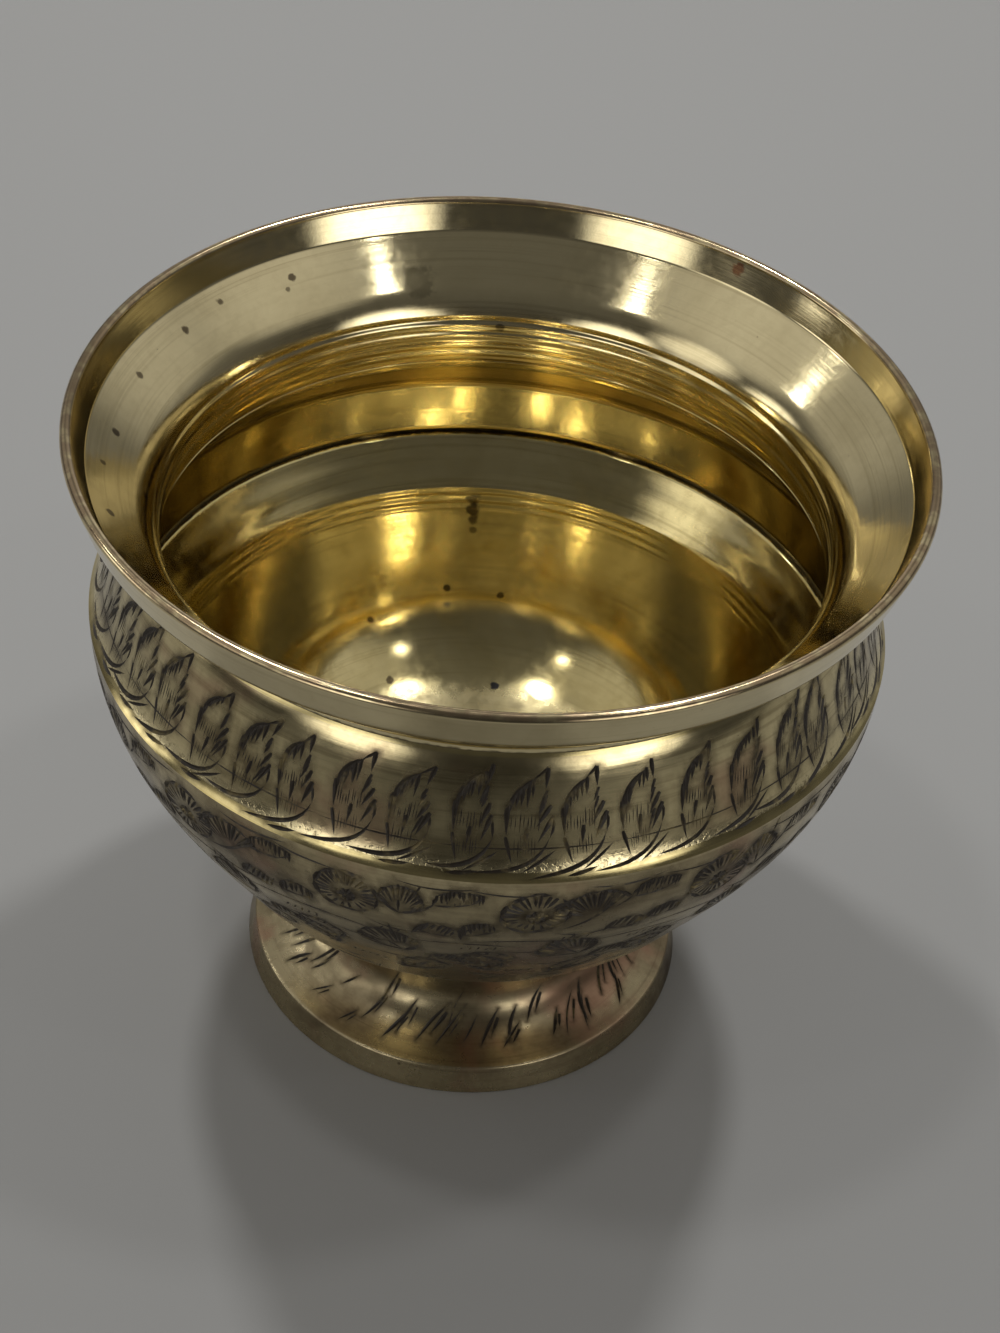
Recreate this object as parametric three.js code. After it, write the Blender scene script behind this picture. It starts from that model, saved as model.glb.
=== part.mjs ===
// Brass pedestal bowl: four lathe-turned parts, lapped into each other and brazed.
// Millimetres, +Z up, with the origin at the middle of the foot's underside.
import * as THREE from "three";

// Facets round the axis, the same on every turned part so that seated faces match
const SEGMENTS = 60;

// Steps along each curved stretch of a cross-section
const LONG_SWEEP_STEPS = 8;
const SHORT_SWEEP_STEPS = 5;
const THROAT_STEPS = 12;
const UNDERCUT_STEPS = 3;
const BEAD_STEPS = 6;
const CORNER_STEPS = 3;
const SAME_POINT = 1e-6;

// Flared rim and funnel of the collar
const RIM_RADIUS = 70;
const RIM_THICKNESS = 1.9;
const LIP_DEPTH = 5.5;
const LIP_LEAN = 1.7;
const FUNNEL_WALL = 2.4;
const FUNNEL_SWEEP = THREE.MathUtils.degToRad(46);
const LIP_HEEL_ROUND = 2.2;
const COLLAR_HEIGHT = 16.4;

// Throat, and the neck outside it
const THROAT_INSET = 14.9;
const THROAT_ROUND = 12.7;
const THROAT_BELOW_NECK = 5.3;
const NECK_WALL = 4.7;
const NECK_BAND = 0.5;
const NECK_COVE = 2.2;
const COLLAR_SPIGOT = 10;

// Shoulder ring, from the neck down to the ridge round the belly
const SHOULDER_HEIGHT = 19.6;
const SHOULDER_SWELL = 7.4;
const SHOULDER_EDGE = 1.9;
const SHOULDER_TOP_SLOPE = THREE.MathUtils.degToRad(44);
const SHOULDER_TOP_REACH = 5.2;
const RIDGE_SLOPE = THREE.MathUtils.degToRad(45);
const RIDGE_REACH = 4.6;
const UNDERCUT_SWEEP = THREE.MathUtils.degToRad(41.5);

// Lap joint between the shoulder ring and the lower bowl
const RIDGE_WALL = 3.1;
const RIDGE_CREASE_DROP = 0.9;
const BELLY_LAP = 11.7;
const LEDGE_INSET = 4.5;
const TONGUE_THICKNESS = 1.5;

// Lower bowl: a drop, a straight taper to the knuckle, then the turn in to the foot; inside, a bevel
// under the ledge, then the basin
const BELLY_HEIGHT = 61.4;
const BELLY_DROP_REACH = 16.4;
const KNUCKLE_INSET = 17;
const KNUCKLE_RISE = 19.7;
const KNUCKLE_SLOPE = THREE.MathUtils.degToRad(60);
const TAPER_REACH = 15.6;
const TURN_REACH = 4.4;
const BOWL_WALL = 3.2;
const BOTTOM_SLOPE = THREE.MathUtils.degToRad(40);
const BOTTOM_REACH = 12;
const BOTTOM_EDGE = 1.2;
const BEVEL_RUN = 6.6;
const BEVEL_DROP = 8.5;
const BASIN_SLOPE = THREE.MathUtils.degToRad(70);
const BASIN_REACH = 7.5;
const BASIN_TURN_REACH = 9;
const FLOOR_THICKNESS = 3;
const FLOOR_FLAT_REACH = 30;

// Foot: a hollow trumpet on a leaning base band
const FOOT_HEIGHT = 22;
const FOOT_NECK_INSET = 20.8;
const FOOT_LIP = 1.4;
const FOOT_NECK_LENGTH = 7.4;
const FOOT_FLARE = 11.6;
const FOOT_WALL = 2.6;
const FLARE_DROP_REACH = 5;
const FLARE_OUT_REACH = 5.8;
const BASE_BAND_HEIGHT = 5.4;
const BASE_BAND_LEAN = 1.3;
const BASE_SHOULDER_ROUND = 0.7;
const BASE_SHOULDER_SLOPE = THREE.MathUtils.degToRad(18);
const BASE_RING_WIDTH = 4.2;

// Joints: the brazed gap, and the boss that centres the foot
const BRAZE_GAP = 0.3;
const BOSS_DEPTH = 2.5;

// Brass of each part
const COLLAR_BRASS = { color: 0xa8925a, roughness: 0.28 };
const SHOULDER_BRASS = { color: 0x8f7d4e, roughness: 0.34 };
const BELLY_BRASS = { color: 0x9c8448, roughness: 0.3 };
const FOOT_BRASS = { color: 0x86754a, roughness: 0.38 };
const BRAZE_BRASS = { color: 0xb5a06a, roughness: 0.5 };

// Heights and radii that follow from the sizes above
const ridgeHeight = FOOT_HEIGHT + BELLY_HEIGHT;
const neckHeight = ridgeHeight + SHOULDER_HEIGHT;
const rimHeight = neckHeight + COLLAR_HEIGHT;
const throatHeight = neckHeight - THROAT_BELOW_NECK;
const spigotHeight = neckHeight - COLLAR_SPIGOT;
const ledgeHeight = ridgeHeight - BELLY_LAP;
const bossHeight = FOOT_HEIGHT - BOSS_DEPTH;
const throatRadius = RIM_RADIUS - THROAT_INSET;
const neckRadius = throatRadius + NECK_WALL;
const neckBore = neckRadius - SHOULDER_EDGE;
const spigotRadius = neckBore - BRAZE_GAP;
const ridgeRadius = neckRadius + SHOULDER_SWELL;
const tongueTopRadius = ridgeRadius - RIDGE_WALL + TONGUE_THICKNESS;
const tongueEndRadius = ridgeRadius - LEDGE_INSET + TONGUE_THICKNESS;
const knuckleRadius = ridgeRadius - KNUCKLE_INSET;
const footNeckRadius = knuckleRadius - FOOT_NECK_INSET;
const footBore = footNeckRadius - FOOT_WALL;
const bossRadius = footBore - BRAZE_GAP;
const baseRadius = footNeckRadius + FOOT_FLARE;

// The round of the throat, and the angle on it where the collar ends and the shoulder ring goes on
const throatCentre = at(throatRadius + THROAT_ROUND, throatHeight);
const throatEndAngle = Math.PI + Math.asin((throatHeight - spigotHeight) / THROAT_ROUND);

// A point of a cross-section: its distance from the axis and its height
function at(radius, height) {
  return new THREE.Vector2(radius, height);
}

// The point at a distance from another, in a direction given from the outward horizontal
function from(start, distance, angle) {
  return at(start.x + distance * Math.cos(angle), start.y + distance * Math.sin(angle));
}

// The point at a distance from one point towards another
function towards(start, end, distance) {
  return from(start, distance, Math.atan2(end.y - start.y, end.x - start.x));
}

// A round stretch of a cross-section
function arc(centre, radius, startAngle, endAngle, steps) {
  return new THREE.EllipseCurve(
    centre.x, centre.y, radius, radius, startAngle, endAngle, endAngle < startAngle,
  ).getPoints(steps);
}

// A flowing stretch of a cross-section between two points, pulled towards two handles
function flow(start, startHandle, endHandle, end, steps) {
  return new THREE.CubicBezierCurve(start, startHandle, endHandle, end).getPoints(steps);
}

// A soft corner between two straight stretches
function corner(start, tip, end) {
  return new THREE.QuadraticBezierCurve(start, tip, end).getPoints(CORNER_STEPS);
}

// Turns a cross-section once round the axis, leaving out points that repeat
function turned(name, outline, brass) {
  const section = outline.filter((point, index) => {
    return index === 0 || point.distanceTo(outline[index - 1]) > SAME_POINT;
  });
  const geometry = new THREE.LatheGeometry(section, SEGMENTS);
  geometry.rotateX(Math.PI / 2);
  const mesh = new THREE.Mesh(geometry, new THREE.MeshStandardMaterial({ metalness: 1, ...brass }));
  mesh.name = name;
  return mesh;
}

// A ring whose cross-section closes on itself
function turnedRing(name, outline, brass) {
  return turned(name, [...outline, outline[0].clone()], brass);
}

// Flared collar: rim, lip band, funnel and throat, with a spigot that drops into the shoulder ring
function rimCollar() {
  const beadRadius = RIM_THICKNESS / 2;
  const beadCentre = at(RIM_RADIUS - beadRadius, rimHeight - beadRadius);
  const lipCorner = at(RIM_RADIUS - RIM_THICKNESS - LIP_LEAN, rimHeight - LIP_DEPTH);
  const funnelEnd = from(throatCentre, THROAT_ROUND, Math.PI - FUNNEL_SWEEP);
  const funnelAngle = Math.atan2(lipCorner.y - funnelEnd.y, lipCorner.x - funnelEnd.x);
  const outward = funnelAngle - Math.PI / 2;
  const heel = from(lipCorner, FUNNEL_WALL, outward);
  const flareFoot = from(funnelEnd, FUNNEL_WALL, outward);
  const coveTip = at(neckRadius, flareFoot.y - (flareFoot.x - neckRadius) * Math.tan(funnelAngle));
  return turnedRing(
    "rim_collar",
    [
      at(spigotRadius, spigotHeight),
      at(spigotRadius, neckHeight),
      at(neckRadius, neckHeight),
      ...corner(at(neckRadius, neckHeight + NECK_BAND), coveTip, from(flareFoot, NECK_COVE, funnelAngle)),
      ...corner(
        towards(heel, flareFoot, LIP_HEEL_ROUND),
        heel,
        towards(heel, at(RIM_RADIUS, beadCentre.y), LIP_HEEL_ROUND),
      ),
      ...arc(beadCentre, beadRadius, 0, Math.PI, BEAD_STEPS),
      lipCorner,
      ...arc(throatCentre, THROAT_ROUND, Math.PI - FUNNEL_SWEEP, throatEndAngle, THROAT_STEPS),
    ],
    COLLAR_BRASS,
  );
}

// Shoulder ring: the engraved slope from the neck to the ridge, with a tongue for the lower bowl
function shoulderRing() {
  const neckEdge = at(neckRadius, neckHeight);
  const ridge = at(ridgeRadius, ridgeHeight);
  return turnedRing(
    "shoulder_ring",
    [
      at(tongueTopRadius, ridgeHeight),
      ...flow(
        ridge,
        from(ridge, RIDGE_REACH, Math.PI - RIDGE_SLOPE),
        from(neckEdge, SHOULDER_TOP_REACH, -SHOULDER_TOP_SLOPE),
        neckEdge,
        LONG_SWEEP_STEPS,
      ),
      at(neckBore, neckHeight),
      at(neckBore, spigotHeight),
      ...arc(throatCentre, THROAT_ROUND, throatEndAngle, Math.PI + UNDERCUT_SWEEP, UNDERCUT_STEPS),
      at(ridgeRadius - RIDGE_WALL, ridgeHeight - RIDGE_CREASE_DROP),
      at(ridgeRadius - LEDGE_INSET, ledgeHeight),
      at(tongueEndRadius, ledgeHeight),
    ],
    SHOULDER_BRASS,
  );
}

// Lower bowl: tapered socket for the tongue, belly, floor, and the boss that centres the foot
function lowerBowl() {
  const ridge = at(ridgeRadius, ridgeHeight);
  const knuckle = at(knuckleRadius, FOOT_HEIGHT + KNUCKLE_RISE);
  const bottomEdge = at(footNeckRadius + FOOT_LIP, FOOT_HEIGHT + BOTTOM_EDGE);
  const ledge = at(ridgeRadius - LEDGE_INSET, ledgeHeight);
  const bevelEnd = at(ledge.x - BEVEL_RUN, ledge.y - BEVEL_DROP);
  const innerKnuckle = from(knuckle, BOWL_WALL, KNUCKLE_SLOPE + Math.PI / 2);
  const floor = at(0, FOOT_HEIGHT + FLOOR_THICKNESS);
  return turned(
    "lower_bowl",
    [
      at(0, bossHeight),
      at(bossRadius, bossHeight),
      at(bossRadius, FOOT_HEIGHT),
      at(bottomEdge.x, FOOT_HEIGHT),
      ...flow(
        bottomEdge,
        from(bottomEdge, BOTTOM_REACH, BOTTOM_SLOPE),
        from(knuckle, -TURN_REACH, KNUCKLE_SLOPE),
        knuckle,
        SHORT_SWEEP_STEPS,
      ),
      ...flow(
        knuckle,
        from(knuckle, TAPER_REACH, KNUCKLE_SLOPE),
        at(ridgeRadius, ridgeHeight - BELLY_DROP_REACH),
        ridge,
        LONG_SWEEP_STEPS,
      ),
      at(tongueTopRadius + BRAZE_GAP, ridgeHeight),
      at(tongueEndRadius + BRAZE_GAP, ledgeHeight),
      ledge,
      ...flow(
        bevelEnd,
        from(bevelEnd, -BASIN_REACH, BASIN_SLOPE),
        from(innerKnuckle, BASIN_REACH, KNUCKLE_SLOPE),
        innerKnuckle,
        SHORT_SWEEP_STEPS,
      ),
      ...flow(
        innerKnuckle,
        from(innerKnuckle, -BASIN_TURN_REACH, KNUCKLE_SLOPE),
        at(FLOOR_FLAT_REACH, floor.y),
        floor,
        LONG_SWEEP_STEPS,
      ),
    ],
    BELLY_BRASS,
  );
}

// Foot: hollow trumpet that stands on a flat ring
function foot() {
  const neckEnd = at(footNeckRadius, FOOT_HEIGHT - FOOT_NECK_LENGTH);
  const bandFoot = at(baseRadius, 0);
  const bandTop = at(baseRadius - BASE_BAND_LEAN, BASE_BAND_HEIGHT);
  const shoulderAngle = Math.PI - BASE_SHOULDER_SLOPE;
  const flareEnd = from(bandTop, BASE_SHOULDER_ROUND, shoulderAngle);
  const ringInner = at(baseRadius - BASE_RING_WIDTH, 0);
  const hollowEdge = at(ringInner.x, BASE_BAND_HEIGHT - FOOT_WALL);
  return turnedRing(
    "foot",
    [
      ringInner,
      bandFoot,
      ...corner(towards(bandTop, bandFoot, BASE_SHOULDER_ROUND), bandTop, flareEnd),
      ...flow(
        flareEnd,
        from(flareEnd, FLARE_OUT_REACH, shoulderAngle),
        at(footNeckRadius, neckEnd.y - FLARE_DROP_REACH),
        neckEnd,
        SHORT_SWEEP_STEPS,
      ),
      ...corner(
        at(footNeckRadius, FOOT_HEIGHT - FOOT_LIP),
        at(footNeckRadius, FOOT_HEIGHT),
        at(footNeckRadius + FOOT_LIP, FOOT_HEIGHT),
      ),
      at(footBore, FOOT_HEIGHT),
      ...flow(
        at(footBore, neckEnd.y),
        at(footBore, neckEnd.y - FLARE_DROP_REACH - FOOT_WALL),
        from(hollowEdge, FLARE_OUT_REACH, shoulderAngle),
        hollowEdge,
        SHORT_SWEEP_STEPS,
      ),
    ],
    FOOT_BRASS,
  );
}

// Brazing metal between two turned faces, given by its inner edge at the foot and at the top
function brazeRing(name, innerFoot, innerTop) {
  return turnedRing(
    name,
    [
      innerFoot,
      at(innerFoot.x + BRAZE_GAP, innerFoot.y),
      at(innerTop.x + BRAZE_GAP, innerTop.y),
      innerTop,
    ],
    BRAZE_BRASS,
  );
}

const bowl = new THREE.Group();
bowl.add(rimCollar());
bowl.add(shoulderRing());
bowl.add(lowerBowl());
bowl.add(foot());
bowl.add(brazeRing("neck_braze", at(spigotRadius, spigotHeight), at(spigotRadius, neckHeight)));
bowl.add(brazeRing("belly_braze", at(tongueEndRadius, ledgeHeight), at(tongueTopRadius, ridgeHeight)));
bowl.add(brazeRing("foot_braze", at(bossRadius, bossHeight), at(bossRadius, FOOT_HEIGHT)));

export default bowl;
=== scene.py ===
# Brass pedestal bowl: a flared collar, an engraved shoulder ring and lower bowl, a trumpet foot.
import math
import random

import bpy
import numpy as np
from mathutils import Matrix, Vector
from mathutils.geometry import delaunay_2d_cdt


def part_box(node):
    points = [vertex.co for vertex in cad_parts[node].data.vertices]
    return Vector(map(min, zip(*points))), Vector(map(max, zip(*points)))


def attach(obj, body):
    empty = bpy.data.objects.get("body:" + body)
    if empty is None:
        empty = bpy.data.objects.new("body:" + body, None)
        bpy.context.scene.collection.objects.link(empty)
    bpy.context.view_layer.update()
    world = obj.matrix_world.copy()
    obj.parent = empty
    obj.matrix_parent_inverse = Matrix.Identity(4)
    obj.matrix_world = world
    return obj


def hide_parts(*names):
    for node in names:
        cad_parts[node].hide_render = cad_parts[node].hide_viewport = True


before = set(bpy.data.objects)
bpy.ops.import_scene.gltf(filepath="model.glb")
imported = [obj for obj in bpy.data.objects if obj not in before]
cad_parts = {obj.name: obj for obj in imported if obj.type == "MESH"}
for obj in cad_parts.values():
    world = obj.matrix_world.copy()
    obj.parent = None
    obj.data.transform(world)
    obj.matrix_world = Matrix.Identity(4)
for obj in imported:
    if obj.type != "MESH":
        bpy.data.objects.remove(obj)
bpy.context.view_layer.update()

# Rim collar.
# The flared top of the bowl: a rounded edge, a steep lip band, a funnel and a rounded throat.
# Turned from cast brass and polished; its spigot is brazed into the shoulder ring below it.
MM = 0.001
COLUMNS = 360
ON_AXIS = 1e-6
SAME_PLACE = 1e-4
SHARP_TURN = 20
BRIGHT_BRASS = (0.84, 0.725, 0.43)
TARNISH = (0.42, 0.34, 0.17)
COPPER_BLUSH = (0.4, 0.23, 0.15)
PACKED_DIRT = (0.06, 0.045, 0.028)
SPECK = (0.08, 0.05, 0.03)
DULL_GREY = (0.45, 0.4, 0.3)
RUST = (0.36, 0.26, 0.16)
# Dark colour for the joints: dirt in the seam, and painted shade in the crease between the parts.
JOINT_GRIME_AND_SHADE = (0.05, 0.035, 0.02)


def arc(centre, radius, start, end, steps):
    angles = np.radians(np.linspace(start, end, steps + 1))
    return [(centre[0] + radius * math.cos(a), centre[1] + radius * math.sin(a)) for a in angles]


def sweep(start, start_handle, end_handle, end, steps):
    t = np.linspace(0, 1, steps + 1)[:, None]
    a, b, c, d = (np.array(point, float) for point in (start, start_handle, end_handle, end))
    curve = (1 - t) ** 3 * a + 3 * (1 - t) ** 2 * t * b + 3 * (1 - t) * t**2 * c + t**3 * d
    return [tuple(point) for point in curve]


def towards(start, end, distance):
    gap = math.dist(start, end)
    return tuple(s + (e - s) * distance / gap for s, e in zip(start, end))


def aimed(start, distance, degrees):
    angle = math.radians(degrees)
    return (start[0] + distance * math.cos(angle), start[1] + distance * math.sin(angle))


def without_repeats(points):
    kept = [points[0]]
    for point in points[1:]:
        if math.dist(point, kept[-1]) > SAME_PLACE:
            kept.append(point)
    if math.dist(kept[0], kept[-1]) < SAME_PLACE:
        kept.pop()
    return kept


def eased(points, radius):
    """Breaks the sharp corners of a closed outline with small rounds, as a turner's file does."""
    made = []
    for i, tip in enumerate(points):
        before, after = points[i - 1], points[(i + 1) % len(points)]
        into = np.subtract(tip, before) / math.dist(tip, before)
        out = np.subtract(after, tip) / math.dist(after, tip)
        turn = math.degrees(math.acos(np.clip(into @ out, -1, 1)))
        if tip[0] < ON_AXIS or turn < SHARP_TURN:
            made.append(tip)
            continue
        reach = min(radius, 0.45 * math.dist(tip, before), 0.45 * math.dist(after, tip))
        start, end = towards(tip, before, reach), towards(tip, after, reach)
        for t in np.linspace(0, 1, 4):
            made.append(tuple((1 - t) ** 2 * s + 2 * t * (1 - t) * m + t**2 * e
                              for s, m, e in zip(start, tip, end)))
    return made


def spaced(path, longest=1.0):
    """The points of a path without its end, with more between them where they stand far apart."""
    made = []
    for start, end in zip(path[:-1], path[1:]):
        count = max(1, math.ceil(math.dist(start, end) / longest))
        if max(start[0], end[0]) < ON_AXIS:
            count = 1
        made += [tuple(s + (e - s) * k / count for s, e in zip(start, end)) for k in range(count)]
    return made


def rippled(path, depth, pitch, steps):
    """A path with fine turned ripples sunk into it, which die away at its ends."""
    path = spaced(path, pitch / steps) + [path[-1]]
    p = np.array(path)
    ahead = np.gradient(p, axis=0)
    outward = np.stack([ahead[:, 1], -ahead[:, 0]], 1) / np.hypot(*ahead.T)[:, None]
    along = np.concatenate([[0], np.cumsum(np.hypot(*np.diff(p, axis=0).T))])
    wave = 0.5 - 0.5 * np.cos(math.tau * along / pitch)
    ends = np.clip(np.minimum(along, along[-1] - along) / (pitch / 2), 0, 1)
    return [tuple(point) for point in p - outward * (depth * wave * ends)[:, None]]


def section_normals(points):
    """Outward normals of a closed outline; the longer neighbour counts more, so flats stay flat."""
    p = np.array(points)
    ahead = np.roll(p, -1, 0) - p
    normal = np.stack([ahead[:, 1], -ahead[:, 0]], 1)
    weighted = normal * np.hypot(*ahead.T)[:, None]
    corner = weighted + np.roll(weighted, 1, 0)
    corner[p[:, 0] < ON_AXIS, 0] = 0
    return corner / np.hypot(*corner.T)[:, None]


def turned(points, normals, skipped=()):
    """Turns an outline round the axis, leaving out the rows between the skipped pairs of points."""
    angles = np.arange(COLUMNS) * math.tau / COLUMNS - math.pi
    around = np.stack([np.sin(angles), -np.cos(angles)], 1)
    places, directions, rows = [], [], []
    for (radius, height), (out, up) in zip(points, normals):
        if radius < ON_AXIS:
            rows.append([len(places)])
            places.append((0, 0, height))
            directions.append((0, 0, math.copysign(1, up)))
            continue
        rows.append(list(range(len(places), len(places) + COLUMNS)))
        places += [(radius * x, radius * y, height) for x, y in around]
        directions += [(out * x, out * y, up) for x, y in around]
    faces = []
    for i, low in enumerate(rows):
        high = rows[(i + 1) % len(rows)]
        if i in skipped or len(low) == len(high) == 1:
            continue
        for j in range(COLUMNS):
            k = (j + 1) % COLUMNS
            ring = (low[j % len(low)], low[k % len(low)], high[k % len(high)], high[j % len(high)])
            faces.append(tuple(dict.fromkeys(ring)))
    return places, directions, faces, rows


def as_piece(name, places, directions, faces, cut_faces, materials):
    """A mesh whose plain faces shade by the given directions, and whose cut faces stay crisp."""
    mesh = bpy.data.meshes.new(name)
    mesh.from_pydata(np.array(places) * MM, [], faces + cut_faces)
    for material in materials:
        mesh.materials.append(material)
    cut = np.zeros(len(mesh.polygons), np.int32)
    cut[len(faces):] = 1
    mesh.polygons.foreach_set("material_index", cut)
    mesh.shade_smooth()
    corners = np.zeros(len(mesh.loops), np.int32)
    mesh.loops.foreach_get("vertex_index", corners)
    shading = np.array(directions)[corners]
    first_corner = len(corners) - 3 * len(cut_faces)
    flat = np.zeros(3 * len(mesh.polygons))
    mesh.polygons.foreach_get("normal", flat)
    shading[first_corner:] = np.repeat(flat.reshape(-1, 3)[len(faces):], 3, 0)
    mesh.normals_split_custom_set(shading.tolist())
    piece = bpy.data.objects.new(name, mesh)
    bpy.context.scene.collection.objects.link(piece)
    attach(piece, "root")
    return piece


def linked(nodes, kind, inputs, **settings):
    """A shader node with its inputs set, or linked where a socket is given."""
    node = nodes.new(kind)
    for key, value in settings.items():
        setattr(node, key, value)
    for key, value in inputs.items():
        if isinstance(value, bpy.types.NodeSocket):
            nodes.id_data.links.new(value, node.inputs[key])
        else:
            node.inputs[key].default_value = value
    return node


def bare_nodes(owner):
    """The node tree of a new material or world, emptied."""
    owner.use_nodes = True
    owner.node_tree.nodes.clear()
    return owner.node_tree.nodes


def maths(nodes, operation, *values):
    return linked(nodes, "ShaderNodeMath", dict(enumerate(values)), operation=operation).outputs[0]


def times(nodes, first, second):
    return maths(nodes, "MULTIPLY", first, second)


def plus(nodes, first, second):
    return maths(nodes, "ADD", first, second)


def minus(nodes, first, second):
    return maths(nodes, "SUBTRACT", first, second)


def faded(nodes, value, low, high, to_low=0.0, to_high=1.0):
    return linked(
        nodes, "ShaderNodeMapRange", {0: value, 1: low, 2: high, 3: to_low, 4: to_high},
        interpolation_type="SMOOTHSTEP",
    ).outputs[0]


def noise(nodes, where, scale, detail=4.0, roughness=0.55, distortion=0.0):
    return linked(
        nodes, "ShaderNodeTexNoise",
        {"Vector": where, "Scale": scale, "Detail": detail, "Roughness": roughness,
         "Distortion": distortion},
    ).outputs["Fac"]


def mixed(nodes, amount, first, second):
    node = linked(nodes, "ShaderNodeMix", {0: amount}, data_type="RGBA")
    for socket, value in ((node.inputs[6], first), (node.inputs[7], second)):
        if isinstance(value, bpy.types.NodeSocket):
            nodes.id_data.links.new(value, socket)
        else:
            socket.default_value = (*value, 1)
    return node.outputs[2]


def ringed(nodes, axes, radius, around, along, detail=3.0, roughness=0.65):
    """Noise in rings round the axis, as turning leaves it: it changes slowly along each ring."""
    x, y = (times(nodes, maths(nodes, "DIVIDE", axis, radius), around) for axis in axes[:2])
    z = times(nodes, axes[2], along)
    return linked(
        nodes, "ShaderNodeTexNoise",
        {"Vector": linked(nodes, "ShaderNodeCombineXYZ", {0: x, 1: y, 2: z}).outputs[0],
         "W": times(nodes, radius, along), "Scale": 1.0, "Detail": detail, "Roughness": roughness},
        noise_dimensions="4D",
    ).outputs["Fac"]


def dots(nodes, place, scale, size, share):
    """Round specks: one in each cell of a scattered pattern, in that share of the cells."""
    cells = linked(nodes, "ShaderNodeTexVoronoi", {"Vector": place, "Scale": scale}).outputs
    chance = linked(nodes, "ShaderNodeSeparateXYZ", {0: cells["Color"]}).outputs
    reach = times(nodes, plus(nodes, chance[1], 0.4), size * scale)
    inside = faded(nodes, maths(nodes, "DIVIDE", cells["Distance"], reach), 1.2, 0.7)
    return times(nodes, inside, maths(nodes, "LESS_THAN", chance[0], share))


def spot_at(azimuth, height, radius):
    """A place on the bowl, from its azimuth in degrees and its height and radius in millimetres."""
    a = math.radians(azimuth)
    return radius * math.sin(a) * MM, -radius * math.cos(a) * MM, height * MM


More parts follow.
